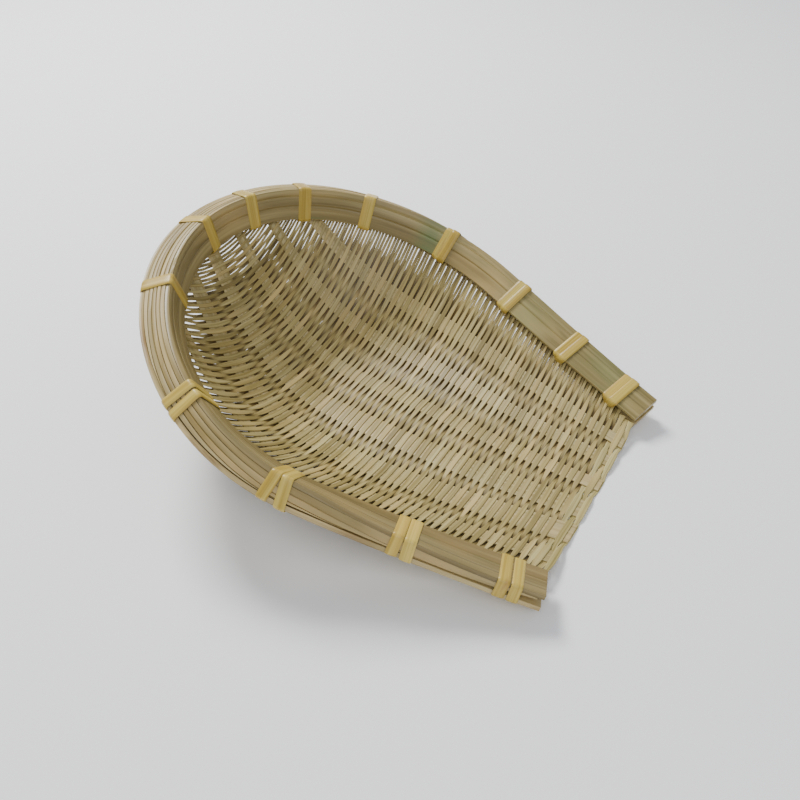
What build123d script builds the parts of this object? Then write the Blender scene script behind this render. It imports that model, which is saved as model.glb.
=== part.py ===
from build123d import *
import os
from math import atan2, cos, hypot, radians, sin, sqrt, tan

# A bamboo winnowing basket: a woven mat held by its edge in a U-shaped hoop.
# X runs from arm to arm, Y from the open mouth (-) to the back (+), Z is up.
# All lengths are in millimetres and all angles in degrees.

# Edge line of the mat, which the whole hoop follows
EDGE_HALF_WIDTH = 88.0      # half width where the basket is widest
EDGE_BACK_REACH = 96.0      # from the widest place to the back
EDGE_LENGTH = 222.0         # from the arm tips to the back
ARM_CONVERGENCE = 16.5      # how far each arm turns in towards the mouth
BACK_EDGE_HEIGHT = 64.0     # rise of the mat's edge above the floor at the back
MOUTH_EDGE_HEIGHT = 5.5     # the same at the arm tips
BACK_SKEW = 20.0            # the hand-bent back leans to the right by this much

# Woven mat
MAT_THICKNESS = 1.4
MAT_FLAT_SHARE = 0.2        # share of the half width that lies flat on the floor
MAT_RISE_POWER = 2.1        # how sharply the sides curve up
MAT_MOUTH_INSET = 8.0       # the arm tips stand this far proud of the mat
MAT_TUCK = 3.0              # how deep the mat's edge goes into the hoop
MAT_PRESSED_FLAT = 0.12     # the belly is pressed this much flatter than the curve

# Hoop: two wide slats with thin slats on edge between them
HOOP_SLAT_WIDTH = 17.0
HOOP_SLAT_THICKNESS = 2.2
OUTER_SLAT_DROP = 1.0       # the outer slat reaches this much lower
SLAT_TO_MAT = 0.8           # play between the mat and the inner slat
LEAN_BACK = 12.0            # outward lean of the hoop's section at the back
LEAN_MOUTH = 78.0           # and at the arm tips, where it lies nearly flat
LEAN_START = 0.1            # share of the half hoop where it begins to twist
MOUTH_GAP_PLAY = 1.8        # room beside the mat where the slats close up at the arm tips
GAP_TAPER_START = 0.42      # shares of the half hoop between which they close up
GAP_TAPER_END = 0.92

# Filler slats, standing on edge between the two wide slats
FILLER_COUNT = 5
FILLER_THICKNESS = 1.5
FILLER_SPACING = 0.5        # between neighbouring fillers
FILLER_PLAY = 0.55          # between the outermost fillers and the wide slats
FILLER_DEPTH = 8.0
FILLER_TIP_INSET = 0.01     # share of the half hoop left free at each arm tip

# Clear space in the hoop, from the mat's inner face to the outer slat
FILLER_PITCH = FILLER_THICKNESS + FILLER_SPACING
FILLERS_ACROSS = FILLER_THICKNESS + FILLER_PITCH * (FILLER_COUNT - 1)
GAP_BACK = FILLERS_ACROSS + 2.0 * FILLER_PLAY - SLAT_TO_MAT
GAP_MOUTH = MAT_THICKNESS + MOUTH_GAP_PLAY

# Lashings: flat strips wound round the hoop, through slots in the mat
LASHING_WIDTH = 5.0         # each band of a double lashing
WIDE_LASHING_WIDTH = 7.0    # the band of a single lashing
LASHING_THICKNESS = 0.8
LASHING_PLAY = 0.3
LASHING_TURN_GAP = 0.5      # between the two turns of a double lashing
LASHING_ROUNDING = 0.4      # inside corners, so that each turn clears the slats
SLOT_PLAY = 0.4
# Place along the hoop (-1 right arm tip, 0 back, 1 left arm tip) and number of turns
LASHINGS = [
    (0.948, 2), (0.787, 2), (0.595, 2), (0.412, 2), (0.192, 1), (0.028, 1), (-0.088, 1),
    (-0.202, 1), (-0.335, 1), (-0.506, 2), (-0.675, 2), (-0.822, 2), (-0.943, 2),
]

# Loose finishing wefts that close the mat at the mouth
MOUTH_WEFT_COUNT = 3
MOUTH_WEFT_WIDTH = 2.2
MOUTH_WEFT_THICKNESS = 1.0
MOUTH_WEFT_GAP = 0.4
MOUTH_WEFT_TIP_INSET = 1.0  # how far each end stops short of the mat's own edge

HOOP_SECTIONS = 37          # cross-sections that carry each hoop slat
WEFT_SECTIONS = 15
MAT_GRID = 33               # points each way that carry the mat's surface

HALF_STEPS = 400            # steps for measuring along the half outline


def smooth_step(share):
    share = min(max(share, 0.0), 1.0)
    return share * share * (3.0 - 2.0 * share)


# ---------------------------------------------------------------- edge line of the mat

FRONT_Y = EDGE_BACK_REACH - EDGE_LENGTH
TURN = atan2(EDGE_HALF_WIDTH, -tan(radians(ARM_CONVERGENCE)) * EDGE_BACK_REACH)
TANGENT_X = EDGE_HALF_WIDTH * sin(TURN)
TANGENT_Y = EDGE_BACK_REACH * cos(TURN)


def half_width(y):
    """Half width of the mat in front of its widest place."""
    if y > TANGENT_Y:
        return EDGE_HALF_WIDTH * sqrt(1.0 - (y / EDGE_BACK_REACH) ** 2)
    return TANGENT_X - (TANGENT_Y - y) * tan(radians(ARM_CONVERGENCE))


def edge_rise(y):
    """Height of the mat's edge above the belly, a straight slope from mouth to back."""
    share = (y - FRONT_Y) / EDGE_LENGTH
    return MOUTH_EDGE_HEIGHT + (BACK_EDGE_HEIGHT - MOUTH_EDGE_HEIGHT) * share


def skew(y):
    return BACK_SKEW * ((y - FRONT_Y) / EDGE_LENGTH) ** 2


def half_outline():
    """Half of the plan outline, from the back round an ellipse and down a straight arm."""
    points = []
    for step in range(HALF_STEPS + 1):
        angle = TURN * step / HALF_STEPS
        points.append((EDGE_HALF_WIDTH * sin(angle), EDGE_BACK_REACH * cos(angle)))
    for step in range(1, HALF_STEPS + 1):
        y = TANGENT_Y + (FRONT_Y - TANGENT_Y) * step / HALF_STEPS
        points.append((half_width(y), y))
    return points


OUTLINE = half_outline()
REACHES = [0.0]
for (x_a, y_a), (x_b, y_b) in zip(OUTLINE, OUTLINE[1:]):
    REACHES.append(REACHES[-1] + hypot(x_b - x_a, y_b - y_a))
HALF_REACH = REACHES[-1]


def edge_point(place):
    """Point on the mat's edge: place runs from -1 (right tip) through 0 (back) to 1 (left tip)."""
    reach = abs(place) * HALF_REACH
    step = 1
    while step < len(REACHES) - 1 and REACHES[step] < reach:
        step += 1
    share = (reach - REACHES[step - 1]) / (REACHES[step] - REACHES[step - 1])
    x = OUTLINE[step - 1][0] + (OUTLINE[step][0] - OUTLINE[step - 1][0]) * share
    y = OUTLINE[step - 1][1] + (OUTLINE[step][1] - OUTLINE[step - 1][1]) * share
    side = 1.0 if place < 0 else -1.0
    return Vector(side * x + skew(y), y, MAT_THICKNESS + edge_rise(y))


# ---------------------------------------------------------------- section of the hoop

TANGENT_STEP = 0.004


def hoop_lean(place):
    share = smooth_step((abs(place) - LEAN_START) / (1.0 - LEAN_START))
    return LEAN_BACK + (LEAN_MOUTH - LEAN_BACK) * share


def hoop_gap(place):
    share = smooth_step((abs(place) - GAP_TAPER_START) / (GAP_TAPER_END - GAP_TAPER_START))
    return GAP_BACK + (GAP_MOUTH - GAP_BACK) * share


def hoop_frame(place):
    """Section plane of the hoop: X points out through the slats, Y up their width."""
    centre = edge_point(place)
    before = edge_point(min(place + TANGENT_STEP, 1.0))
    after = edge_point(max(place - TANGENT_STEP, -1.0))
    along = (after - before).normalized()
    outward = Vector(-along.Y, along.X, 0.0).normalized()
    upright = along.cross(outward)
    lean = radians(hoop_lean(place))
    through = outward * cos(lean) - upright * sin(lean)
    return Plane(origin=centre, x_dir=through, z_dir=along)


def hoop_slat(start, end, inner, outer, low, high):
    """A slat that follows the hoop; inner and outer are functions of the place."""
    wires = []
    for section in range(HOOP_SECTIONS):
        place = start + (end - start) * section / (HOOP_SECTIONS - 1)
        plane = hoop_frame(place)
        corners = [(inner(place), low), (outer(place), low), (outer(place), high), (inner(place), high)]
        wires.append(Wire.make_polygon([plane.from_local_coords(corner) for corner in corners]))
    return Solid.make_loft(wires)


def inner_hoop():
    return hoop_slat(
        -1.0, 1.0,
        lambda place: -SLAT_TO_MAT - HOOP_SLAT_THICKNESS,
        lambda place: -SLAT_TO_MAT,
        0.0, HOOP_SLAT_WIDTH,
    )


def outer_hoop():
    return hoop_slat(
        -1.0, 1.0,
        hoop_gap,
        lambda place: hoop_gap(place) + HOOP_SLAT_THICKNESS,
        -OUTER_SLAT_DROP, HOOP_SLAT_WIDTH,
    )


def filler_slat(number):
    """A thin slat on edge. It runs as far along each arm as the closing gap lets it."""
    inner = -SLAT_TO_MAT + FILLER_PLAY + FILLER_PITCH * number
    outer = inner + FILLER_THICKNESS
    room_outside = FILLER_PITCH * (FILLER_COUNT - 1 - number)
    tip = 1.0 - FILLER_TIP_INSET
    while GAP_BACK - hoop_gap(tip) > room_outside:
        tip -= FILLER_TIP_INSET
    return hoop_slat(
        -tip, tip,
        lambda place: inner,
        lambda place: outer,
        HOOP_SLAT_WIDTH - FILLER_DEPTH, HOOP_SLAT_WIDTH,
    )


# ---------------------------------------------------------------- woven mat

RIM_MARGIN = 1.04           # past this share of the half width the sides go on straight


def mat_top(x, y):
    """Height of the mat's inner face."""
    x_plain = x - skew(y)
    if y > 0:
        share = hypot(x_plain / EDGE_HALF_WIDTH, y / EDGE_BACK_REACH)
    else:
        share = abs(x_plain) / half_width(y)
    rise = max(min(share, RIM_MARGIN) - MAT_FLAT_SHARE, 0.0) / (1.0 - MAT_FLAT_SHARE)
    height = rise ** MAT_RISE_POWER
    if share > RIM_MARGIN:
        slope = MAT_RISE_POWER * rise ** (MAT_RISE_POWER - 1.0) / (1.0 - MAT_FLAT_SHARE)
        height += slope * (share - RIM_MARGIN)
    return MAT_THICKNESS + edge_rise(y) * height


def mat_stretch(x, y):
    """Vertical distance through the mat for each millimetre of its thickness."""
    step = 0.5
    slope_x = (mat_top(x + step, y) - mat_top(x - step, y)) / (2.0 * step)
    slope_y = (mat_top(x, y + step) - mat_top(x, y - step)) / (2.0 * step)
    return sqrt(1.0 + slope_x ** 2 + slope_y ** 2)


def mat_low(x, y):
    """Height of the mat's outer face."""
    return mat_top(x, y) - (MAT_THICKNESS + MAT_PRESSED_FLAT) * mat_stretch(x, y)


def mat_surface(height, reach):
    """A smooth face over a rectangle that the mat's outline lies inside."""
    half_x = EDGE_HALF_WIDTH + reach
    low_y = FRONT_Y - reach
    high_y = EDGE_BACK_REACH + reach
    rows = []
    for row in range(MAT_GRID):
        y = low_y + (high_y - low_y) * row / (MAT_GRID - 1)
        points = []
        for column in range(MAT_GRID):
            x = -half_x + 2.0 * half_x * column / (MAT_GRID - 1) + skew(y)
            points.append(Vector(x, y, height(x, y)))
        rows.append(points)
    return Face.make_surface_from_array_of_points(rows)


def mat_outline():
    """Plan outline of the mat: its tucked edge, cut straight across at the mouth."""
    front_y = FRONT_Y + MAT_MOUTH_INSET
    points = []
    for section in range(-HOOP_SECTIONS, HOOP_SECTIONS + 1):
        plane = hoop_frame(section / HOOP_SECTIONS)
        edge = plane.from_local_coords((0.0, MAT_TUCK))
        points.append((edge.X, edge.Y))
    outline = Wire([Edge.make_spline([Vector(x, y) for x, y in points]),
                    Edge.make_line(points[-1], points[0])])
    width = 2.0 * (EDGE_HALF_WIDTH + BACK_SKEW + MAT_TUCK) + HOOP_SLAT_WIDTH
    keep = Pos(0, front_y + EDGE_LENGTH) * Rectangle(2.0 * width, 2.0 * EDGE_LENGTH)
    return Face(outline) & keep


def woven_mat():
    deep = 3.0 * BACK_EDGE_HEIGHT
    margin = 2.0 * MAT_TUCK
    under_top = extrude(mat_surface(mat_top, margin), amount=deep, dir=(0, 0, -1))
    under_low = extrude(mat_surface(mat_low, margin), amount=deep, dir=(0, 0, -1))
    column = Pos(0, 0, -deep / 2) * extrude(mat_outline(), amount=2.0 * deep)
    floor = Pos(0, 0, -deep) * Box(2.0 * deep + EDGE_LENGTH, 2.0 * deep + EDGE_LENGTH, 2.0 * deep)
    mat = (column & under_top) - under_low - floor
    for place, turns in LASHINGS:
        mat -= lashing_slot(place, turns)
    return mat


def mouth_weft(number):
    """A finishing weft that lies across the mouth, one of the last rows of the weave."""
    back = FRONT_Y + MAT_MOUTH_INSET - MOUTH_WEFT_GAP
    back -= number * (MOUTH_WEFT_WIDTH + MOUTH_WEFT_GAP)
    front = back - MOUTH_WEFT_WIDTH
    reach = half_width(front) - MOUTH_WEFT_TIP_INSET
    wires = []
    for section in range(WEFT_SECTIONS):
        offset = -reach + 2.0 * reach * section / (WEFT_SECTIONS - 1)
        x = offset + skew(front)
        low = mat_top(x, front) - MAT_THICKNESS
        high = low + MOUTH_WEFT_THICKNESS
        corners = [(x, front, low), (x, back, low), (x, back, high), (x, front, high)]
        wires.append(Wire.make_polygon([Vector(*corner) for corner in corners]))
    return Solid.make_loft(wires)


# ---------------------------------------------------------------- lashings

def band_width(turns):
    return LASHING_WIDTH if turns > 1 else WIDE_LASHING_WIDTH


def lashing_shifts(turns):
    """Distance of each turn from the middle of its lashing, along the hoop."""
    pitch = LASHING_WIDTH + LASHING_TURN_GAP
    return [pitch * (turn - (turns - 1) / 2.0) for turn in range(turns)]


def lashing_sketch(place, grow):
    """Rounded rectangle round the whole section of the hoop, grown by the given amount."""
    inner = -SLAT_TO_MAT - HOOP_SLAT_THICKNESS - grow
    outer = hoop_gap(place) + HOOP_SLAT_THICKNESS + grow
    low = -OUTER_SLAT_DROP - grow
    high = HOOP_SLAT_WIDTH + grow
    rounding = LASHING_ROUNDING + grow - LASHING_PLAY
    shape = RectangleRounded(outer - inner, high - low, rounding)
    return Pos((inner + outer) / 2, (low + high) / 2) * shape


def lashing(place, turns):
    bands = []
    for shift in lashing_shifts(turns):
        turn_place = place - shift / HALF_REACH
        ring = lashing_sketch(turn_place, LASHING_PLAY + LASHING_THICKNESS)
        ring -= lashing_sketch(turn_place, LASHING_PLAY)
        band = extrude(ring, amount=band_width(turns) / 2, both=True)
        bands.append(hoop_frame(turn_place) * band)
    return Compound([band.solid() for band in bands])


def lashing_slot(place, turns):
    """Slot in the mat that lets a lashing through, just below the inner slat."""
    width = turns * band_width(turns) + (turns - 1) * LASHING_TURN_GAP + 2.0 * SLOT_PLAY
    high = SLOT_PLAY
    low = -OUTER_SLAT_DROP - LASHING_PLAY - LASHING_THICKNESS - SLOT_PLAY
    depth = 3.0 * MAT_THICKNESS
    block = Box(2.0 * depth, high - low, width)
    return hoop_frame(place) * Pos(0, (low + high) / 2, 0) * block


# ---------------------------------------------------------------- the whole basket

def basket():
    pieces = {
        "woven_mat": woven_mat(),
        "inner_hoop": inner_hoop(),
        "outer_hoop": outer_hoop(),
    }
    for number in range(FILLER_COUNT):
        pieces[f"filler_slat_{number + 1}"] = filler_slat(number)
    for number, (place, turns) in enumerate(LASHINGS):
        pieces[f"lashing_{number + 1:02d}"] = lashing(place, turns)
    for number in range(MOUTH_WEFT_COUNT):
        pieces[f"mouth_weft_{number + 1}"] = mouth_weft(number)
    return pieces


def main():
    pieces = basket()
    whole = Compound([solid for piece in pieces.values() for solid in piece.solids()])
    box = whole.bounding_box()
    to_origin = Pos(-(box.min.X + box.max.X) / 2, -(box.min.Y + box.max.Y) / 2, -box.min.Z)
    os.makedirs("parts", exist_ok=True)
    for name, piece in pieces.items():
        export_step(to_origin * Compound(list(piece.solids())), f"parts/{name}.step")
    print("moved by", to_origin.position)
    print("overall size", box.size)


main()
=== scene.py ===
import random
from math import atan2, cos, hypot, radians, sin, sqrt, tan

import bpy
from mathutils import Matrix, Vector


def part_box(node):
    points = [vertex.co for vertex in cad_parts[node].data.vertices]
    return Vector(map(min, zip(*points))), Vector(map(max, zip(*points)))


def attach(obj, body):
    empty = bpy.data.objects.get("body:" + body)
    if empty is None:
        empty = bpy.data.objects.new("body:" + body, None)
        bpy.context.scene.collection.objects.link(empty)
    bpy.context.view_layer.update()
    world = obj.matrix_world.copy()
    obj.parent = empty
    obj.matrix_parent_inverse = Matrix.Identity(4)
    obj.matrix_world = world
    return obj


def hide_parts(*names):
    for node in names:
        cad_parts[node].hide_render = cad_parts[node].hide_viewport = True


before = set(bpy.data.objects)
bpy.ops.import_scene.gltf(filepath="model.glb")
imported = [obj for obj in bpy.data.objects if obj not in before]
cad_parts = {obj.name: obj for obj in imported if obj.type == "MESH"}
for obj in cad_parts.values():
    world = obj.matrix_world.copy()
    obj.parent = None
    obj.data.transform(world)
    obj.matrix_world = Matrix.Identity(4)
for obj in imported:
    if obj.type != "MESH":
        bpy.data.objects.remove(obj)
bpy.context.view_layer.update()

# A bamboo winnowing basket: strips woven into a mat, held by lashings in a U-shaped hoop.
# Sizes are in millimetres, as the basket is designed, and each mesh is scaled to metres.
MM = 0.001
random.seed(11)

# ---------------------------------------------------------------- sizes of the design

EDGE_HALF_WIDTH = 88.0      # of the mat's edge line, where the basket is widest
EDGE_BACK_REACH = 96.0      # from the widest place to the back
EDGE_LENGTH = 222.0         # from the arm tips to the back
ARM_CONVERGENCE = 16.5      # degrees that each arm turns in towards the mouth
BACK_EDGE_HEIGHT = 64.0     # rise of the edge line at the back and at the arm tips
MOUTH_EDGE_HEIGHT = 5.5
BACK_SKEW = 20.0            # the back leans to the right by this much

MAT_THICKNESS = 1.4
MAT_FLAT_SHARE = 0.2        # share of the half width that lies flat
MAT_RISE_POWER = 2.1        # how sharply the sides curve up
MAT_MOUTH_INSET = 8.0       # the arm tips stand this far proud of the mat
RIM_MARGIN = 1.04           # share of the half width past which the mat rises straight on
MID_HEIGHT = 0.78           # of the mat's mid surface where it lies on the floor
SURFACE_STEP = 0.4          # between the points that give the slope of the mat

HOOP_SLAT_WIDTH = 17.0
HOOP_SLAT_THICKNESS = 2.2
OUTER_SLAT_DROP = 1.0
SLAT_TO_MAT = 0.8
LEAN_BACK = 12.0            # degrees that the hoop leans outwards at the back
LEAN_MOUTH = 78.0           # and at the arm tips, where it lies nearly flat
LEAN_START = 0.1            # share of the half hoop where it begins to twist
GAP_BACK = 9.8              # from the mat to the outer slat, at the back and at the arm tips
GAP_MOUTH = 3.2
GAP_TAPER_START = 0.42      # shares of the half hoop between which that gap closes up
GAP_TAPER_END = 0.92

FILLER_COUNT = 5
FILLER_PITCH = 2.0
FILLER_DEPTH = 8.0
FILLER_TIP_INSET = 0.01

LASHING_WIDTH = 5.0         # each turn of a double lashing
WIDE_LASHING_WIDTH = 7.0    # the turn of a single lashing

MOUTH_WEFT_WIDTH = 2.2
MOUTH_WEFT_GAP = 0.4
MOUTH_WEFT_COUNT = 3
MOUTH_WEFT_TIP_INSET = 1.0

# ---------------------------------------------------------------- sizes of the weave

# Each warp: plain X where the mat is widest, and its width
WARPS = [(-66.0, 9.0), (-37.5, 14.0), (-11.0, 13.0), (17.5, 8.5), (44.0, 7.5), (66.0, 7.0)]
RIM_WARPS = (-94.0, 92.0)   # the hoop holds the weft ends as one more warp would
RIM_WARP_WIDTH = 2.0
WARP_THICKNESS = 0.7
WARP_EDGE = 0.12            # half the thickness of a warp at its worn edges
WARP_SECTION = (-0.5, -0.47, -0.25, 0.0, 0.25, 0.47, 0.5)  # shares of its width
WARP_BACK_DRAW = 0.15       # share by which the warps draw together at the back
WARP_BACK_Y = 76.0          # where they have drawn together by that share
WARP_LEAST_WIDTH = 0.7      # share of its width that a warp keeps however the mat narrows
WARP_BACK_TRIM = 0.25       # share of its width that a warp loses towards the back
WARP_STEP = 2.0             # between the sections that carry a warp
WARP_DUST_AND_SHADE = 0.24            # painted shade with some dust, laid evenly on each warp where it shows between the wefts
WEFT_PITCH = 1.82
WEFT_SHARE = 0.97           # width of a weft as a share of the space to its neighbour
WEFT_SPREAD = 0.75          # a weft fills the space more where it dives under a warp
WEFT_PROUD = 0.5            # and where it rides over one
WEFT_LOOSE = 0.86           # the same at the hoop, where the wefts stand apart
LOOSE_START = 0.86          # share of the half width where they begin to stand apart
LOOSE_SPAN = 0.12
WEFT_WIDEST = 3.0           # a weft is never cut for a wider space than this
WEFT_SHORTEST = 8.0
WEFT_THICKNESS = 0.45
WEFT_BOW = 9.0              # the wefts arch this far back in the middle
WEFT_BOW_REACH = 90.0       # distance from the mouth at which they arch in full
WEFT_STEP = 2.6             # between the sections that carry a weft
WEFT_GROUPS = 3             # pieces that the wefts are gathered in, from mouth to back
WEFT_SPACING_STEPS = 2400   # short steps in which the space between wefts is measured
WEAVE_TUCK = 1.022          # share of the half width where the strips end inside the hoop
TANGENT_REACH = 0.5         # half the distance over which a weft's direction is taken
CROSSING_PLAY = 0.02        # between a weft and the warp it crosses
MOUTH_WEFT_SPREAD = 0.45    # share by which a mouth weft spreads over and under the warps
MOUTH_WEFT_STEPS = 90
PATTERN_RUN = 900.0         # each strip's pattern starts somewhere within this length

# No two strips are split alike: the least and the most of each
WEFT_FULLNESS = (0.93, 1.03)
WEFT_THINNESS = (0.85, 1.1)
WEFT_SWAY = (0.02, 0.1)
WARP_TONES = (0.3, 0.7)
BAND_FULLNESS = (0.94, 1.06)


def smooth_step(share):
    share = min(max(share, 0.0), 1.0)
    return share * share * (3.0 - 2.0 * share)


# ---------------------------------------------------------------- edge line and surface of the mat

FRONT_Y = EDGE_BACK_REACH - EDGE_LENGTH
TURN = atan2(EDGE_HALF_WIDTH, -tan(radians(ARM_CONVERGENCE)) * EDGE_BACK_REACH)
TANGENT_X = EDGE_HALF_WIDTH * sin(TURN)
TANGENT_Y = EDGE_BACK_REACH * cos(TURN)
HALF_STEPS = 400
TANGENT_STEP = 0.004


def half_width(y):
    if y > TANGENT_Y:
        return EDGE_HALF_WIDTH * sqrt(max(1.0 - (y / EDGE_BACK_REACH) ** 2, 0.0))
    return TANGENT_X - (TANGENT_Y - y) * tan(radians(ARM_CONVERGENCE))


def edge_rise(y):
    share = (y - FRONT_Y) / EDGE_LENGTH
    return MOUTH_EDGE_HEIGHT + (BACK_EDGE_HEIGHT - MOUTH_EDGE_HEIGHT) * share


def skew(y):
    return BACK_SKEW * ((y - FRONT_Y) / EDGE_LENGTH) ** 2


def half_outline():
    points = []
    for step in range(HALF_STEPS + 1):
        angle = TURN * step / HALF_STEPS
        points.append((EDGE_HALF_WIDTH * sin(angle), EDGE_BACK_REACH * cos(angle)))
    for step in range(1, HALF_STEPS + 1):
        y = TANGENT_Y + (FRONT_Y - TANGENT_Y) * step / HALF_STEPS
        points.append((half_width(y), y))
    return points


OUTLINE = half_outline()
REACHES = [0.0]
for (x_a, y_a), (x_b, y_b) in zip(OUTLINE, OUTLINE[1:]):
    REACHES.append(REACHES[-1] + hypot(x_b - x_a, y_b - y_a))
HALF_REACH = REACHES[-1]


def edge_point(place):
    """Point on the mat's edge: place runs from -1 (right tip) through 0 (back) to 1 (left tip)."""
    reach = abs(place) * HALF_REACH
    step = 1
    while step < len(REACHES) - 1 and REACHES[step] < reach:
        step += 1
    share = (reach - REACHES[step - 1]) / (REACHES[step] - REACHES[step - 1])
    x = OUTLINE[step - 1][0] + (OUTLINE[step][0] - OUTLINE[step - 1][0]) * share
    y = OUTLINE[step - 1][1] + (OUTLINE[step][1] - OUTLINE[step - 1][1]) * share
    side = 1.0 if place < 0 else -1.0
    return Vector((side * x + skew(y), y, MAT_THICKNESS + edge_rise(y)))


def edge_share(x_plain, y):
    """Share of the way from the middle of the mat to its edge line."""
    if y > 0:
        return hypot(x_plain / EDGE_HALF_WIDTH, y / EDGE_BACK_REACH)
    return abs(x_plain) / half_width(y)


def mat_point(x_plain, y, height=0.0):
    """Point on the mat's mid surface, at an X from before the skew, raised along its normal."""
    point = Vector((x_plain + skew(y), y, mid_height(x_plain, y)))
    if height == 0.0:
        return point
    return point + mat_normal(x_plain, y) * height


def mid_height(x_plain, y):
    share = edge_share(x_plain, y)
    rise = max(min(share, RIM_MARGIN) - MAT_FLAT_SHARE, 0.0) / (1.0 - MAT_FLAT_SHARE)
    height = rise ** MAT_RISE_POWER
    if share > RIM_MARGIN:
        slope = MAT_RISE_POWER * rise ** (MAT_RISE_POWER - 1.0) / (1.0 - MAT_FLAT_SHARE)
        height += slope * (share - RIM_MARGIN)
    return MID_HEIGHT + edge_rise(y) * height


def mat_normal(x_plain, y):
    side = mat_point(x_plain + SURFACE_STEP, y) - mat_point(x_plain - SURFACE_STEP, y)
    back = mat_point(x_plain, y + SURFACE_STEP) - mat_point(x_plain, y - SURFACE_STEP)
    return side.cross(back).normalized()


# ---------------------------------------------------------------- section of the hoop

def hoop_lean(place):
    share = smooth_step((abs(place) - LEAN_START) / (1.0 - LEAN_START))
    return LEAN_BACK + (LEAN_MOUTH - LEAN_BACK) * share


def hoop_gap(place):
    share = smooth_step((abs(place) - GAP_TAPER_START) / (GAP_TAPER_END - GAP_TAPER_START))
    return GAP_BACK + (GAP_MOUTH - GAP_BACK) * share


def hoop_frame(place):
    """Origin, direction out through the slats, direction up their width, direction along."""
    centre = edge_point(place)
    before = edge_point(min(place + TANGENT_STEP, 1.0))
    after = edge_point(max(place - TANGENT_STEP, -1.0))
    along = (after - before).normalized()
    outward = Vector((-along.y, along.x, 0.0)).normalized()
    upright = along.cross(outward)
    lean = radians(hoop_lean(place))
    through = outward * cos(lean) - upright * sin(lean)
    return centre, through, along.cross(through), along


# ---------------------------------------------------------------- from the design to the frame

def frame_shift():
    """How far the design is moved in the frame, from the first mouth strip."""
    back = FRONT_Y + MAT_MOUTH_INSET - MOUTH_WEFT_GAP
    front = back - MOUTH_WEFT_WIDTH
    low, high = (Vector(corner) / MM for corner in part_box("mouth_weft_1"))
    middle = (low + high) / 2
    return Vector((middle.x - skew(front), middle.y - (front + back) / 2, low.z))


SHIFT = frame_shift()
SMOOTH_ANGLE = 40.0         # edges sharper than this stay crisp


# ---------------------------------------------------------------- strips of bamboo

class Strips:
    """Gathers swept strips of bamboo into one mesh, with UVs in metres along and round them.

    Each strip has its own tone. Each point has a depth, which is how much dust and painted shade
    darken it there, and a stain, which is how much of the material's other colour shows there.
    """

    def __init__(self):
        self.points = []
        self.faces = []
        self.uvs = []
        self.tones = []
        self.depths = []
        self.stains = []

    def add(self, rings, tone, closed=False, start=0.0, depths=None, stains=None):
        """Sweeps a strip through its rings; a closed strip joins its last ring to its first."""
        first = len(self.points)
        count = len(rings[0])
        lengths = [start]
        for ring_a, ring_b in zip(rings, rings[1:]):
            lengths.append(lengths[-1] + (ring_b[0] - ring_a[0]).length)
        if closed:
            lengths.append(lengths[-1] + (rings[0][0] - rings[-1][0]).length)
        round_it = [0.0]
        for corner in range(count):
            step = rings[0][(corner + 1) % count] - rings[0][corner]
            round_it.append(round_it[-1] + step.length)
        for number, ring in enumerate(rings):
            self.points.extend((point + SHIFT) * MM for point in ring)
            self.depths.extend([depths[number] if depths else 0.0] * count)
            self.stains.extend([stains[number] if stains else 0.0] * count)
        spans = len(rings) if closed else len(rings) - 1
        for span in range(spans):
            here = first + span * count
            there = first + (span + 1) % len(rings) * count
            for corner in range(count):
                after = (corner + 1) % count
                self.faces.append((here + corner, here + after, there + after, there + corner))
                self.uvs.extend([
                    (lengths[span] * MM, round_it[corner] * MM),
                    (lengths[span] * MM, round_it[corner + 1] * MM),
                    (lengths[span + 1] * MM, round_it[corner + 1] * MM),
                    (lengths[span + 1] * MM, round_it[corner] * MM),
                ])
                self.tones.append(tone)
        if not closed:
            last = first + (len(rings) - 1) * count
            self.add_end(first, lengths[0], round_it, list(reversed(range(count))), tone)
            self.add_end(last, lengths[-1], round_it, list(range(count)), tone)

    def add_end(self, first, length, round_it, corners, tone):
        self.faces.append(tuple(first + corner for corner in corners))
        self.uvs.extend((length * MM, round_it[corner] * MM) for corner in corners)
        self.tones.append(tone)

    def add_attribute(self, mesh, name, domain, values):
        layer = mesh.attributes.new(name, "FLOAT", domain)
        layer.data.foreach_set("value", values)

    def build(self, name, material, nodes, slot):
        """Makes the piece and rides it on the basket in place of its CAD nodes."""
        mesh = bpy.data.meshes.new(name)
        mesh.from_pydata([tuple(point) for point in self.points], [], self.faces)
        layer = mesh.uv_layers.new(name="UVMap")
        for loop, uv in zip(layer.data, self.uvs):
            loop.uv = uv
        self.add_attribute(mesh, "tone", "FACE", self.tones)
        self.add_attribute(mesh, "depth", "POINT", self.depths)
        self.add_attribute(mesh, "stain", "POINT", self.stains)
        mesh.materials.append(material)
        piece = bpy.data.objects.new(name, mesh)
        bpy.context.scene.collection.objects.link(piece)
        bpy.ops.object.select_all(action="DESELECT")
        piece.select_set(True)
        bpy.context.view_layer.objects.active = piece
        bpy.ops.object.mode_set(mode="EDIT")
        bpy.ops.mesh.select_all(action="SELECT")
        bpy.ops.mesh.normals_make_consistent(inside=False)
        bpy.ops.object.mode_set(mode="OBJECT")
        bpy.ops.object.shade_smooth_by_angle(angle=radians(SMOOTH_ANGLE))
        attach(piece, "root")
        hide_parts(*nodes)


# ---------------------------------------------------------------- materials

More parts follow.
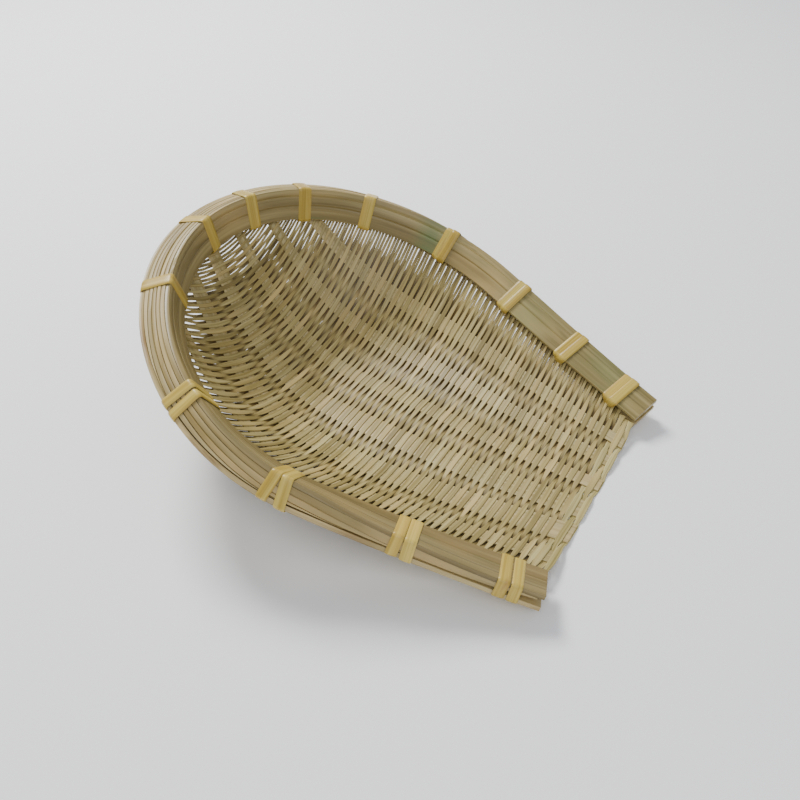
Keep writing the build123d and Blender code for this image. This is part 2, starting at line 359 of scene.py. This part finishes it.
CREVICE_DUST_AND_SHADE = (0.23, 0.17, 0.08, 1.0)       # painted shade, with some dust, low in the weave
FIBRES_ALONG = 16.0                     # repeats of each pattern per metre, along and across
STREAKS_ALONG = 5.0
STREAKS_PER_FIBRE = 0.22
PATCHES = (14.0, 60.0)
MARKS = (22.0, 150.0)
STRIP_SHIFT = (37.0, 91.0, 53.0)        # the pattern starts elsewhere on each strip
WARM = (1.06, 0.93, 0.82)               # the drift in colour, for red, green and blue
BAMBOO_SPECULAR = 0.42
SMOOTHER = 0.08                         # roughness varies by this much below and above
ROUGHER = 0.12
FIBRE_RELIEF = 0.0002                   # metres


def colour(red, green, blue):
    """Screen colour, 0 to 255, as the shader's linear colour."""
    return tuple((part / 255.0) ** 2.2 for part in (red, green, blue)) + (1.0,)


def node(tree, kind, **sockets):
    made = tree.nodes.new(kind)
    for name, value in sockets.items():
        made.inputs[name.replace("_", " ")].default_value = value
    return made


def attribute(tree, name):
    made = tree.nodes.new("ShaderNodeAttribute")
    made.attribute_name = name
    return made.outputs["Fac"]


def ranged(tree, value, **sockets):
    made = node(tree, "ShaderNodeMapRange", **sockets)
    tree.links.new(value, made.inputs["Value"])
    return made.outputs["Result"]


def ramp(tree, value, low, high):
    """0 where the value is at low, 1 where it is at high."""
    return ranged(tree, value, From_Min=low, From_Max=high)


def mixed(tree, kind, factor, first, second):
    """Blends two colours; the factor and either colour may be a value or a socket."""
    made = tree.nodes.new("ShaderNodeMix")
    made.data_type = "RGBA"
    made.blend_type = kind
    made.clamp_factor = True
    if isinstance(factor, float):
        made.inputs["Factor"].default_value = factor
    else:
        tree.links.new(factor, made.inputs["Factor"])
    for name, value in (("A", first), ("B", second)):
        socket = [s for s in made.inputs if s.name == name and s.type == "RGBA"][0]
        if isinstance(value, tuple):
            socket.default_value = value
        else:
            tree.links.new(value, socket)
    return [s for s in made.outputs if s.type == "RGBA"][0]


def strip_noise(tree, along, across, detail, start):
    """Noise that follows each strip and is drawn out along it."""
    uv = tree.nodes.new("ShaderNodeTexCoord")
    mapping = node(tree, "ShaderNodeMapping", Scale=(along, across, 1.0), Location=start)
    tree.links.new(uv.outputs["UV"], mapping.inputs["Vector"])
    shift = tree.nodes.new("ShaderNodeVectorMath")
    shift.operation = "MULTIPLY_ADD"
    shift.inputs[1].default_value = STRIP_SHIFT
    tree.links.new(attribute(tree, "tone"), shift.inputs[0])
    tree.links.new(mapping.outputs["Vector"], shift.inputs[2])
    texture = node(tree, "ShaderNodeTexNoise", Scale=1.0, Detail=detail, Roughness=0.6)
    tree.links.new(shift.outputs["Vector"], texture.inputs["Vector"])
    return texture.outputs["Fac"]


def grain_colour(tree, fibres, patches, dark, light, fibre, streak):
    """Fine fibres from dark to light, with duller streaks and warmer patches."""
    streaks = strip_noise(tree, STREAKS_ALONG, fibre * STREAKS_PER_FIBRE, 2.0, (3.0, 7.0, 0.0))
    dull = tuple(part * (1.0 - 0.32 * streak) for part in light[:3]) + (1.0,)
    warm = tuple(min(part * drift, 1.0) for part, drift in zip(light[:3], WARM)) + (1.0,)
    grain = mixed(tree, "MIX", ramp(tree, fibres, 0.3, 0.68), dark, light)
    dulled = mixed(tree, "MULTIPLY", 0.6, grain, dull)
    grain = mixed(tree, "MIX", ramp(tree, streaks, 0.62, 0.42), grain, dulled)
    return mixed(tree, "MIX", ramp(tree, patches, 0.5, 0.8), grain, warm)


def stained(tree, grain, patches, stain):
    """The other colour of a skin, in patches where the piece's stain attribute allows it."""
    amount = tree.nodes.new("ShaderNodeMath")
    amount.operation = "MULTIPLY"
    tree.links.new(attribute(tree, "stain"), amount.inputs[0])
    tree.links.new(ramp(tree, patches, 0.3, 0.65), amount.inputs[1])
    return mixed(tree, "MIX", amount.outputs["Value"], grain, stain)


def marked(tree, grain, mark, amount):
    marks = strip_noise(tree, *MARKS, 4.0, (5.0, 9.0, 0.0))
    return mixed(tree, "MIX", ramp(tree, marks, 0.66 - 0.1 * amount, 0.74), grain, mark)


def bamboo(name, dark, light, roughness, fibre, tone_span, bump=0.25, streak=0.5,
           mark=None, mark_amount=0.0, stain=None):
    """Split bamboo: fibres run along the strip, colour drifts, and each strip has its own tone."""
    material = bpy.data.materials.new(name)
    material.use_nodes = True
    tree = material.node_tree
    shader = tree.nodes["Principled BSDF"]
    shader.inputs["Specular IOR Level"].default_value = BAMBOO_SPECULAR
    fibres = strip_noise(tree, FIBRES_ALONG, fibre, 3.0, (0.0, 0.0, 0.0))
    patches = strip_noise(tree, *PATCHES, 2.0, (11.0, 2.0, 0.0))
    grain = grain_colour(tree, fibres, patches, dark, light, fibre, streak)
    shade = ranged(tree, attribute(tree, "tone"),
                   To_Min=1.0 - 0.5 * tone_span, To_Max=1.0 + 0.3 * tone_span)
    grain = mixed(tree, "MULTIPLY", 1.0, grain, shade)
    # painted shade with some dust: the colour darkens where the depth attribute is high
    grain = mixed(tree, "MULTIPLY", attribute(tree, "depth"), grain, CREVICE_DUST_AND_SHADE)
    if stain:
        grain = stained(tree, grain, patches, stain)
    if mark:
        grain = marked(tree, grain, mark, mark_amount)
    tree.links.new(grain, shader.inputs["Base Color"])
    rough = ranged(tree, fibres, To_Min=roughness - SMOOTHER, To_Max=roughness + ROUGHER)
    tree.links.new(rough, shader.inputs["Roughness"])
    relief = node(tree, "ShaderNodeBump", Strength=bump, Distance=FIBRE_RELIEF)
    tree.links.new(fibres, relief.inputs["Height"])
    tree.links.new(relief.outputs["Normal"], shader.inputs["Normal"])
    return material


WEFT = bamboo("woven_weft_strip", colour(147, 131, 80), colour(196, 181, 124),
              roughness=0.42, fibre=1500.0, tone_span=0.42, bump=0.3)
WARP = bamboo("woven_warp_strip", colour(170, 154, 104), colour(216, 202, 150),
              roughness=0.45, fibre=1200.0, tone_span=0.3, bump=0.3)
MOUTH = bamboo("mouth_weft_strip", colour(154, 141, 84), colour(200, 187, 130),
               roughness=0.42, fibre=1400.0, tone_span=0.3, bump=0.3)
INNER = bamboo("inner_slat_skin", colour(147, 132, 86), colour(182, 165, 113),
               roughness=0.36, fibre=700.0, tone_span=0.2, streak=1.0,
               mark=colour(116, 112, 70), mark_amount=0.2, stain=colour(92, 118, 74))
OUTER = bamboo("outer_slat_skin", colour(164, 145, 94), colour(200, 181, 130),
               roughness=0.38, fibre=650.0, tone_span=0.2, streak=0.8,
               mark=colour(96, 66, 34), mark_amount=0.75, stain=colour(120, 84, 46))
FILLER = bamboo("filler_slat_edge", colour(148, 130, 82), colour(196, 178, 126),
                roughness=0.5, fibre=1300.0, tone_span=0.5)
LASHING = bamboo("lashing_strip_skin", colour(186, 162, 72), colour(213, 188, 97),
                 roughness=0.36, fibre=1300.0, tone_span=0.16, bump=0.35,
                 mark=colour(170, 130, 70))


# ---------------------------------------------------------------- hoop slats

SLAT_SECTIONS = 150
SLAT_LEVELS = 8             # spans up each face of a slat
SLAT_EASE = 0.35            # eased corners of the wide slats
HOOP_CROWN = 0.55           # the middle of the hoop's top stands this much higher
INNER_GROOVES = (7.6, 12.9) # heights of the fine grooves on the inner slat's face
GROOVE_HALF_WIDTH = 0.45
GROOVE_DEPTH = 0.35
INNER_BULGE = 0.25          # how far the middle of each wide slat's face swells
OUTER_BULGE = 0.3
LEFT_ARM_SHADE_AMOUNT = 0.42              # how much painted shade darkens the left arm's face


def rounded(inner, outer, low, high, soft, bulge_in=0.0, bulge_out=0.0, grooves=(), rise=0.0):
    """Section of a slat: eased corners, swelling faces and fine grooves on the inner face."""
    corners = []
    face = high - low - 2 * soft
    levels = [low + soft + face * level / SLAT_LEVELS for level in range(SLAT_LEVELS + 1)]
    for groove in grooves:
        levels += [groove - GROOVE_HALF_WIDTH, groove, groove + GROOVE_HALF_WIDTH]
    for y in sorted(levels):
        share = (y - low) / (high - low)
        x = inner - bulge_in * (4.0 * share * (1.0 - share))
        if y in grooves:
            x += GROOVE_DEPTH
        corners.append((x, y))
    corners.append((inner + soft, high + rise))
    corners.append((outer - soft, high + rise))
    for level in range(SLAT_LEVELS + 1):
        y = high - soft - face * level / SLAT_LEVELS
        share = (y - low) / (high - low)
        corners.append((outer + bulge_out * (4.0 * share * (1.0 - share)), y))
    corners.append((outer - soft, low))
    corners.append((inner + soft, low))
    return corners


def wobble(place, seed, size):
    """Smooth hand-made unevenness along the hoop."""
    return size * (sin(place * 17.0 + seed) + 0.6 * sin(place * 41.0 + 2.3 * seed)) / 1.6


def clean_skin(place):
    return 0.0


def slat_ring(place, corners):
    centre, through, up, along = hoop_frame(place)
    return [centre + through * x + up * y for x, y in corners]


def hoop_slat(name, nodes, slot, material, reach, section, tone=0.5, stain=clean_skin,
              painted_shade=clean_skin):
    """A slat that follows the hoop from -reach to reach."""
    strips = Strips()
    places = [reach * (2.0 * step / SLAT_SECTIONS - 1.0) for step in range(SLAT_SECTIONS + 1)]
    rings = [slat_ring(place, section(place)) for place in places]
    # the depths carry painted shade along the slat
    strips.add(rings, tone, stains=[stain(place) for place in places],
               depths=[painted_shade(place) for place in places])
    strips.build(name, material, nodes, slot)


def inner_section(place):
    outer = -SLAT_TO_MAT
    inner = outer - HOOP_SLAT_THICKNESS + wobble(place, 1.0, 0.1)
    return rounded(inner, outer, 0.0, HOOP_SLAT_WIDTH, SLAT_EASE, bulge_in=INNER_BULGE,
                   grooves=INNER_GROOVES, rise=wobble(place, 2.0, 0.12) - HOOP_CROWN)


def outer_section(place):
    inner = hoop_gap(place)
    return rounded(inner, inner + HOOP_SLAT_THICKNESS, -OUTER_SLAT_DROP, HOOP_SLAT_WIDTH,
                   SLAT_EASE, bulge_out=OUTER_BULGE, rise=wobble(place, 5.0, 0.15) - HOOP_CROWN)


def patch_at(place, centre, reach):
    """Strength of a stain around one place on the hoop."""
    return smooth_step(1.0 - abs(place - centre) / reach)


def green_skin(place):
    """Places where some green skin is left on the inner slat, on the right arm."""
    return max(patch_at(place, -0.475, 0.05), 0.5 * patch_at(place, -0.9, 0.12),
               0.35 * patch_at(place, -0.72, 0.1))


def scarred_skin(place):
    """Places where the outer slat is scarred brown, on the left side."""
    return max(0.8 * patch_at(place, 0.3, 0.06), 0.7 * patch_at(place, 0.72, 0.05),
               0.5 * patch_at(place, 0.08, 0.05))


def painted_left_arm_shade(place):
    """Painted shade: the left arm's face is darkened towards its tip."""
    return LEFT_ARM_SHADE_AMOUNT * smooth_step((place - 0.15) / 0.5)


# the inner slat's left arm is darkened with painted shade
hoop_slat("inner_hoop_slat", ["inner_hoop"], "bamboo_inner_slat", INNER, 1.0, inner_section,
          stain=green_skin, painted_shade=painted_left_arm_shade)
hoop_slat("outer_hoop_slat", ["outer_hoop"], "bamboo_outer_slat", OUTER, 1.0, outer_section,
          stain=scarred_skin)


# ---------------------------------------------------------------- filler slats

FILLER_SEAM = 0.28          # dark seam between neighbouring slats in the hoop
SEAM_CLOSING = 1.6          # how much faster the seams close than the hoop does
FILLER_TAPER = 0.2          # share of the half hoop over which a filler thins out to its tip
FILLER_TIP_SHARE = 0.04     # of its thickness, left at the tip
FILLER_EASE = 0.3


def filler_tip(number):
    """Place where a filler ends: the outer ones stop where the hoop leaves them no room."""
    tip = 1.0 - FILLER_TIP_INSET
    while GAP_BACK - hoop_gap(tip) > FILLER_PITCH * (FILLER_COUNT - 1 - number):
        tip -= FILLER_TIP_INSET
    return tip


FILLER_TIPS = [filler_tip(number) for number in range(FILLER_COUNT)]


def filler_sides(place, number):
    """Inner and outer face of a filler: together the fillers always fill the hoop."""
    weights = [FILLER_TIP_SHARE + smooth_step((tip - abs(place)) / FILLER_TAPER)
               for tip in FILLER_TIPS]
    whole = hoop_gap(place) + SLAT_TO_MAT
    seam = FILLER_SEAM * (whole / (GAP_BACK + SLAT_TO_MAT)) ** SEAM_CLOSING
    room = whole - seam * (FILLER_COUNT + 1)
    before = room * sum(weights[:number]) / sum(weights)
    inner = -SLAT_TO_MAT + seam * (number + 1) + before
    return inner, inner + room * weights[number] / sum(weights)


def add_filler(number):
    middle = (FILLER_COUNT - 1) / 2
    sink = HOOP_CROWN * ((number - middle) / (middle + 1)) ** 2

    def section(place):
        inner, outer = filler_sides(place, number)
        soft = min(FILLER_EASE, (outer - inner) * FILLER_EASE)
        return rounded(inner, outer, HOOP_SLAT_WIDTH - FILLER_DEPTH, HOOP_SLAT_WIDTH, soft,
                       rise=wobble(place, 3.0 * number, 0.15) - sink)

    hoop_slat(f"filler_slat_piece_{number + 1}", [f"filler_slat_{number + 1}"], "bamboo_filler",
              FILLER, FILLER_TIPS[number], section, tone=0.2 + 0.6 * random.random())


for number in range(FILLER_COUNT):
    add_filler(number)


# ---------------------------------------------------------------- woven mat

def weft_places(low, high):
    """Y of each weft on the middle line of the mat, one pitch apart along its curve."""
    places = [low]
    run = 0.0
    last = mat_point(0.0, low)
    for step in range(1, WEFT_SPACING_STEPS + 1):
        y = low + (high - low) * step / WEFT_SPACING_STEPS
        here = mat_point(0.0, y)
        run += (here - last).length
        last = here
        if run >= WEFT_PITCH:
            places.append(y)
            run -= WEFT_PITCH
    return places


def strip_ring(centre, side, normal, width, thickness):
    """Six-cornered section of a thin strip."""
    half = width / 2
    ease = min(0.22, width * 0.12)
    flat = thickness / 2
    return [centre + side * x + normal * z for x, z in (
        (-half, 0.0), (-half + ease, -flat), (half - ease, -flat),
        (half, 0.0), (half - ease, flat), (-half + ease, flat))]


MAT_FRONT = FRONT_Y + MAT_MOUTH_INSET
MOUTH_EDGE = MAT_FRONT - MOUTH_WEFT_COUNT * (MOUTH_WEFT_WIDTH + MOUTH_WEFT_GAP)
WEFTS = weft_places(MAT_FRONT + WEFT_PITCH / 2, EDGE_BACK_REACH + 0.6 * WEFT_BOW)
RAISED = (WARP_THICKNESS + WEFT_THICKNESS) / 2 + CROSSING_PLAY
CROSSINGS = [(RIM_WARPS[0], RIM_WARP_WIDTH)] + WARPS + [(RIM_WARPS[1], RIM_WARP_WIDTH)]


def fan(y):
    """Spread of the warps: they follow the arms, and draw together at the back."""
    if y > 0:
        return 1.0 - WARP_BACK_DRAW * (y / WARP_BACK_Y) ** 2
    return half_width(y) / EDGE_HALF_WIDTH


def over_under(x, y, parity):
    """Height of a weft above the mid surface: over one warp, under the next."""
    spread = x / fan(y)
    sign = parity
    for (x_a, wide_a), (x_b, wide_b) in zip(CROSSINGS, CROSSINGS[1:]):
        start = x_a + wide_a / 2
        end = x_b - wide_b / 2
        if spread <= start:
            return RAISED * sign
        if spread < end:
            return RAISED * sign * (1.0 - 2.0 * smooth_step((spread - start) / (end - start)))
        sign = -sign
    return RAISED * sign


def reach_at(y, side):
    """Plain X where a weft ends inside the hoop, or nothing where it would lie outside."""
    if y > 0 and edge_share(0.0, y) > WEAVE_TUCK:
        return None
    low = 0.0
    high = EDGE_HALF_WIDTH * WEAVE_TUCK
    for halving in range(24):
        middle = (low + high) / 2
        if edge_share(middle, bowed(side * middle, y)) < WEAVE_TUCK:
            low = middle
        else:
            high = middle
    return side * low


def bowed(x, y):
    """Y of a weft at this plain X: straight at the mouth, arching back further in."""
    depth = WEFT_BOW * smooth_step((y - MAT_FRONT) / WEFT_BOW_REACH)
    return y - depth * (x / EDGE_HALF_WIDTH) ** 2


def across_and_normal(x, y, before, after):
    """Directions across a weft, within the mat, and out of the mat."""
    normal = mat_normal(x, y)
    along = (after - before).normalized()
    return normal.cross(along).normalized(), normal


def weft_rings(y, next_y, parity, fullness, thickness, sway):
    """Rings of a weft and how deep each lies, or nothing where it would be too short."""
    left = reach_at(y, -1.0)
    right = reach_at(y, 1.0)
    if left is None or right - left < WEFT_SHORTEST:
        return None, None
    steps = max(int((right - left) / WEFT_STEP), 4)
    rings = []
    depths = []
    for step in range(steps + 1):
        x = left + (right - left) * step / steps
        here_y = bowed(x, y) + sway * sin(x * 0.11 + y) + 0.06 * sin(x * 0.37 + 3.0 * y)
        height = over_under(x, here_y, parity)
        surface = mat_point(x, here_y)
        before = mat_point(x - TANGENT_REACH, bowed(x - TANGENT_REACH, y))
        after = mat_point(x + TANGENT_REACH, bowed(x + TANGENT_REACH, y))
        side, normal = across_and_normal(x, here_y, before, after)
        spacing = abs((mat_point(x, bowed(x, next_y)) - mat_point(x, bowed(x, y))).dot(side))
        loose = smooth_step((edge_share(x, here_y) - LOOSE_START) / LOOSE_SPAN)
        depth = smooth_step((0.3 * RAISED - height) / (1.3 * RAISED))
        proud = smooth_step((height - 0.2 * RAISED) / (0.8 * RAISED))
        share = WEFT_SHARE + WEFT_SPREAD * depth + WEFT_PROUD * proud
        share += (WEFT_LOOSE - share) * loose
        width = min(spacing, WEFT_WIDEST) * fullness * share
        rings.append(strip_ring(surface + normal * height, side, normal, width, thickness))
        # painted shade with some dust darkens the weft where it dives under a warp, less near the
        # hoop
        depths.append(depth * (1.0 - 0.5 * loose))
    return rings, depths


def add_wefts():
    groups = [Strips() for group in range(WEFT_GROUPS)]
    for count, y in enumerate(WEFTS):
        width = random.uniform(*WEFT_FULLNESS)
        thickness = WEFT_THICKNESS * random.uniform(*WEFT_THINNESS)
        tone = random.random()
        next_y = WEFTS[count + 1] if count + 1 < len(WEFTS) else 2.0 * y - WEFTS[count - 1]
        parity = 1.0 if count % 2 else -1.0
        sway = random.uniform(*WEFT_SWAY)
        rings, depths = weft_rings(y, next_y, parity, width, thickness, sway)
        if rings:
            group = groups[int(count * WEFT_GROUPS / len(WEFTS))]
            group.add(rings, tone, start=random.uniform(0.0, PATTERN_RUN), depths=depths)
    for number, strips in enumerate(groups):
        strips.build(f"woven_wefts_{number + 1}", WEFT, ["woven_mat"], "bamboo_weave")


def add_warps():
    for number, (x_wide, width) in enumerate(WARPS):
        back = EDGE_BACK_REACH
        while edge_share(x_wide * fan(back), back) > WEAVE_TUCK:
            back -= 0.5
        stations = int((back - MOUTH_EDGE) / WARP_STEP)
        rings = []
        for step in range(stations + 1):
            y = MOUTH_EDGE + (back - MOUTH_EDGE) * step / stations
            kept = WARP_LEAST_WIDTH + (1.0 - WARP_LEAST_WIDTH) * fan(y)
            kept -= WARP_BACK_TRIM * smooth_step(y / EDGE_BACK_REACH)
            x = x_wide * fan(y) + 0.25 * sin(y * 0.06 + number)
            rings.append(warp_ring(x, y, width * kept))
        strips = Strips()
        # each warp is darkened evenly by painted shade with some dust
        strips.add(rings, random.uniform(*WARP_TONES), start=random.uniform(0.0, PATTERN_RUN),
                   depths=[WARP_DUST_AND_SHADE] * len(rings))
        strips.build(f"woven_warp_{number + 1}", WARP, ["woven_mat"], "bamboo_weave")


def warp_ring(x, y, width):
    """Section of a warp: wide, following the mat's curve, with thin worn edges."""
    low = []
    high = []
    for share in WARP_SECTION:
        flat = WARP_EDGE if abs(share) == 0.5 else WARP_THICKNESS / 2
        low.append(mat_point(x + width * share, y, -flat))
        high.append(mat_point(x + width * share, y, flat))
    return low + high[::-1]


add_wefts()
add_warps()


def add_mouth_weft(number):
    """One of the loose wefts that close the mat: over and under like the rest, but wider."""
    pitch = MOUTH_WEFT_WIDTH + MOUTH_WEFT_GAP
    y = MAT_FRONT - MOUTH_WEFT_GAP - MOUTH_WEFT_WIDTH / 2 - number * pitch
    reach = half_width(y) - MOUTH_WEFT_TIP_INSET
    rings = []
    for step in range(MOUTH_WEFT_STEPS + 1):
        x = -reach + 2.0 * reach * step / MOUTH_WEFT_STEPS
        before = mat_point(x - TANGENT_REACH, y)
        after = mat_point(x + TANGENT_REACH, y)
        side, normal = across_and_normal(x, y, before, after)
        lift = over_under(x, y, 1.0 if number % 2 else -1.0)
        centre = mat_point(x, y + 0.12 * sin(x * 0.21 + number)) + normal * lift
        width = MOUTH_WEFT_WIDTH * (1.0 + MOUTH_WEFT_SPREAD * smooth_step(abs(lift) / RAISED))
        rings.append(strip_ring(centre, side, normal, width, WEFT_THICKNESS * 1.1))
    strips = Strips()
    strips.add(rings, 0.3 + 0.2 * number)
    strips.build(f"mouth_weft_strip_{number + 1}", MOUTH, [f"mouth_weft_{number + 1}"],
                 "bamboo_mouth_weft")


for number in range(MOUTH_WEFT_COUNT):
    add_mouth_weft(number)


# ---------------------------------------------------------------- lashings

# Place along the hoop, then the tilt of each turn: how far it leads along the hoop, in mm,
# at the inner side and at the outer side
LASHINGS = [
    (0.948, [(-2.7, -2.9), (2.7, 2.9)]), (0.787, [(-2.6, -3.0), (2.6, 3.2)]),
    (0.595, [(-2.2, -3.6), (2.2, 3.6)]), (0.412, [(-2.6, -2.8), (2.6, 2.8)]),
    (0.192, [(0.2, -0.4)]), (0.028, [(0.4, -0.5)]), (-0.088, [(-0.5, 0.5)]),
    (-0.202, [(0.3, -0.2)]), (-0.335, [(0.0, 0.3)]), (-0.506, [(-1.6, 2.2), (1.6, -1.6)]),
    (-0.675, [(-1.8, 2.4), (1.8, -1.8)]), (-0.822, [(-1.6, 2.2), (1.8, -2.0)]),
    (-0.943, [(-2.0, 1.8), (2.0, -1.4)]),
]
BAND_THICKNESS = 0.36
BAND_CUP = 0.08             # the band's middle stands this much higher than its edges
BAND_EASE = 0.25
BAND_PLAY = (0.3, 0.34)     # between the band and the inner and outer slat
BAND_PLAY_LOW = 0.05
BAND_PLAY_HIGH = 0.12
BAND_LIFT = 0.04            # a band lies this much off the play
CROSSED_LIFT = 0.4          # and its second turn this much more where the turns cross
BAND_BEND = 1.5             # radius in which a band turns a corner
BAND_STEP = 2.0
BAND_PATTERN_RUN = 300.0
CORNER_STEPS = 5


def band_sides(place, grow):
    inner = -SLAT_TO_MAT - HOOP_SLAT_THICKNESS - BAND_PLAY[0] - grow
    outer = hoop_gap(place) + HOOP_SLAT_THICKNESS + BAND_PLAY[1] + grow
    return inner, outer


def band_path(inner, outer, grow):
    """Rounded rectangle round the hoop's section: each point with its direction outwards."""
    low = -OUTER_SLAT_DROP - BAND_PLAY_LOW - grow
    high = HOOP_SLAT_WIDTH + BAND_PLAY_HIGH + grow
    soft = BAND_BEND + grow
    spots = []
    for x, y, angle in ((inner + soft, low + soft, 180.0), (outer - soft, low + soft, 270.0),
                        (outer - soft, high - soft, 0.0), (inner + soft, high - soft, 90.0)):
        for step in range(CORNER_STEPS + 1):
            turn = radians(angle + 90.0 * step / CORNER_STEPS)
            spots.append((x + soft * cos(turn), y + soft * sin(turn), cos(turn), sin(turn)))
    points = []
    for spot, after in zip(spots, spots[1:] + spots[:1]):
        points.append(spot)
        pieces = int(hypot(after[0] - spot[0], after[1] - spot[1]) // BAND_STEP)
        for step in range(1, pieces):
            share = step / pieces
            points.append(tuple(a + (b - a) * share for a, b in zip(spot, after)))
    return points


def band_ring(middle, along, normal, width):
    """Section of a lashing strip: thin, slightly cupped, with eased edges."""
    half = width / 2
    flat = half * 0.4
    top = BAND_THICKNESS - BAND_CUP
    crown = BAND_THICKNESS + 0.03
    corners = [(-half, 0.02), (-half + BAND_EASE, -BAND_CUP), (0.0, 0.0),
               (half - BAND_EASE, -BAND_CUP), (half, 0.02), (half - 0.3, top),
               (flat, crown), (-flat, crown), (-half + 0.3, top)]
    return [middle + along * x + normal * z for x, z in corners]


def band_rings(place, lead_in, lead_out, lift, width):
    """Rings of one turn, which leads along the hoop by its two leads."""
    inner, outer = band_sides(place, lift)
    rings = []
    for x, y, normal_x, normal_y in band_path(inner, outer, lift):
        share = (x - inner) / (outer - inner)
        lead = lead_in + (lead_out - lead_in) * share
        centre, through, up, along = hoop_frame(place - lead / HALF_REACH)
        size = hypot(normal_x, normal_y)
        normal = (through * normal_x + up * normal_y) / size
        rings.append(band_ring(centre + through * x + up * y, along, normal, width))
    return rings


def add_lashing(number, place, turns):
    strips = Strips()
    for turn, (lead_in, lead_out) in enumerate(turns):
        crossed = lead_in * lead_out < 0
        lift = BAND_LIFT + CROSSED_LIFT * turn if crossed else BAND_LIFT
        full_width = LASHING_WIDTH if len(turns) > 1 else WIDE_LASHING_WIDTH
        width = full_width * random.uniform(*BAND_FULLNESS)
        rings = band_rings(place, lead_in, lead_out, lift, width)
        strips.add(rings, random.random(), closed=True,
                   start=random.uniform(0.0, BAND_PATTERN_RUN))
    strips.build(f"lashing_band_{number:02d}", LASHING, [f"lashing_{number:02d}"], "bamboo_lashing")


for number, (place, turns) in enumerate(LASHINGS):
    add_lashing(number + 1, place, turns)


# ---------------------------------------------------------------- floor, light and camera

FLOOR_SIZE = 8.0            # metres, as are the places and sizes of the lights
FLOOR_SHADE = 0.96
FLOOR_ROUGHNESS = 0.7


def floor_material():
    material = bpy.data.materials.new("pale_floor")
    material.use_nodes = True
    tree = material.node_tree
    shader = tree.nodes["Principled BSDF"]
    shader.inputs["Roughness"].default_value = FLOOR_ROUGHNESS
    place = tree.nodes.new("ShaderNodeTexCoord")
    texture = node(tree, "ShaderNodeTexNoise", Scale=3.0, Detail=2.0)
    tree.links.new(place.outputs["Object"], texture.inputs["Vector"])
    tint = ranged(tree, texture.outputs["Fac"], To_Min=FLOOR_SHADE * 0.98, To_Max=FLOOR_SHADE * 1.02)
    tree.links.new(tint, shader.inputs["Base Color"])
    return material


def add_floor():
    bpy.ops.object.select_all(action="DESELECT")
    bpy.ops.mesh.primitive_plane_add(size=FLOOR_SIZE, location=(0.0, 0.0, 0.0))
    floor = bpy.context.object
    floor.name = "studio_floor"
    floor.data.materials.append(floor_material())


add_floor()

VIEW_AZIMUTH = radians(-58.9)
VIEW_ELEVATION = radians(39.92)
VIEW_ROLL = radians(-1.28)
VIEW_DISTANCE = 445.35
LENS = 40.5
SENSOR = 36.0
AIM = Vector((0.0, 0.0, 30.0))
AIM_RIGHT = -0.046889       # tangents of the angles from the middle of the view to the aim
AIM_UP = 0.033889


def view_axes():
    back = Vector((sin(VIEW_AZIMUTH) * cos(VIEW_ELEVATION),
                   -cos(VIEW_AZIMUTH) * cos(VIEW_ELEVATION), sin(VIEW_ELEVATION)))
    right = Vector((cos(VIEW_AZIMUTH), sin(VIEW_AZIMUTH), 0.0))
    up = back.cross(right)
    return (right * cos(VIEW_ROLL) + up * sin(VIEW_ROLL),
            up * cos(VIEW_ROLL) - right * sin(VIEW_ROLL), back)


def add_camera():
    right, up, back = view_axes()
    spot = AIM + (back - right * AIM_RIGHT - up * AIM_UP) * VIEW_DISTANCE
    data = bpy.data.cameras.new("studio_camera")
    data.lens = LENS
    data.sensor_width = SENSOR
    data.clip_start = 0.01
    camera = bpy.data.objects.new("studio_camera", data)
    bpy.context.scene.collection.objects.link(camera)
    turn = camera.rotation_euler.to_matrix()
    turn.col[0], turn.col[1], turn.col[2] = right, up, back
    camera.rotation_euler = turn.to_euler()
    camera.location = (spot + SHIFT) * MM
    bpy.context.scene.camera = camera


add_camera()


LIGHTS_AIM = Vector((0.0, 0.0, 0.03))


def add_light(name, place, size, power):
    data = bpy.data.lights.new(name, "AREA")
    data.shape = "SQUARE"
    data.size = size
    data.energy = power
    lamp = bpy.data.objects.new(name, data)
    bpy.context.scene.collection.objects.link(lamp)
    lamp.location = place
    lamp.rotation_euler = (LIGHTS_AIM - Vector(place)).to_track_quat("-Z", "Y").to_euler()


def add_world():
    world = bpy.data.worlds.new("studio_world")
    world.use_nodes = True
    sky = world.node_tree.nodes["Background"]
    sky.inputs["Color"].default_value = (0.9, 0.93, 1.0, 1.0)
    sky.inputs["Strength"].default_value = 0.52
    bpy.context.scene.world = world


add_light("window_light", (0.45, 0.8, 1.0), size=0.45, power=24.0)
add_light("fill_light", (-0.9, -0.5, 1.1), size=1.0, power=8.0)
add_world()
